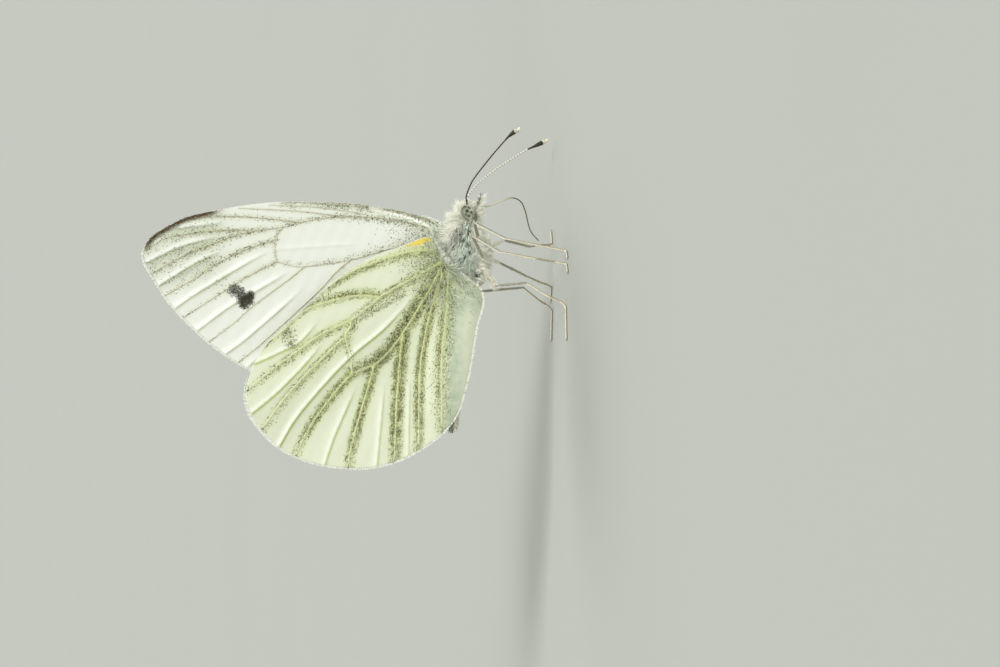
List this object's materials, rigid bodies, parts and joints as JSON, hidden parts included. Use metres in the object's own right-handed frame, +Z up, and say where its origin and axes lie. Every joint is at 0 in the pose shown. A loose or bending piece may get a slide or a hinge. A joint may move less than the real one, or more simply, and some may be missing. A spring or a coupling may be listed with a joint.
{
  "type": "green-veined white butterfly",
  "caption": "Life-size still model of a pale butterfly standing on its feet, wings closed over its back, veins dusted green-grey, feelers forward and tongue let down.",
  "frame": {"origin": "on the floor, below the middle of the model's bounding box", "axes": "+X towards the head, +Y towards the butterfly's left, +Z up, along which the closed wings stand"},
  "size_m": [0.025, 0.0112, 0.0305],
  "materials": {
    "wing_white": "matt scales, faintly green white, grey dust along the veins, a dark spot and a thin brown tip edge",
    "wing_yellow": "matt scales, pale yellow-green, broad olive-grey dusting along raised pale veins",
    "white_body": "blue-grey skin under long soft white hair",
    "grey_body": "grey skin under short pale hair and scales",
    "leg": "smooth cream scales with a dark under side",
    "dark_horn": "satin black-brown, the feelers ringed with white and tipped with cream",
    "eye": "satin grey-green with small dark spots"
  },
  "bodies": {
    "root": {"abdomen": "grey_body", "abdomen_tip": "grey_body", "antenna_left": "dark_horn", "antenna_right": "dark_horn", "eye_left": "eye", "eye_right": "eye", "forewing_left": "wing_white", "forewing_right": "wing_white", "head": "white_body", "hindwing_left": "wing_yellow", "hindwing_right": "wing_yellow", "leg_fore_left_femur": "leg", "leg_fore_left_tarsus": "leg", "leg_fore_left_tibia": "leg", "leg_fore_right_femur": "leg", "leg_fore_right_tarsus": "leg", "leg_fore_right_tibia": "leg", "leg_hind_left_femur": "leg", "leg_hind_left_tarsus": "leg", "leg_hind_left_tibia": "leg", "leg_hind_right_femur": "leg", "leg_hind_right_tarsus": "leg", "leg_hind_right_tibia": "leg", "leg_mid_left_femur": "leg", "leg_mid_left_tarsus": "leg", "leg_mid_left_tibia": "leg", "leg_mid_right_femur": "leg", "leg_mid_right_tarsus": "leg", "leg_mid_right_tibia": "leg", "neck": "white_body", "palp_left": "white_body", "palp_right": "white_body", "proboscis_base": "dark_horn", "proboscis_tip": "dark_horn", "tegula_left": "white_body", "tegula_right": "white_body", "thorax": "white_body"}
  },
  "joints": []
}
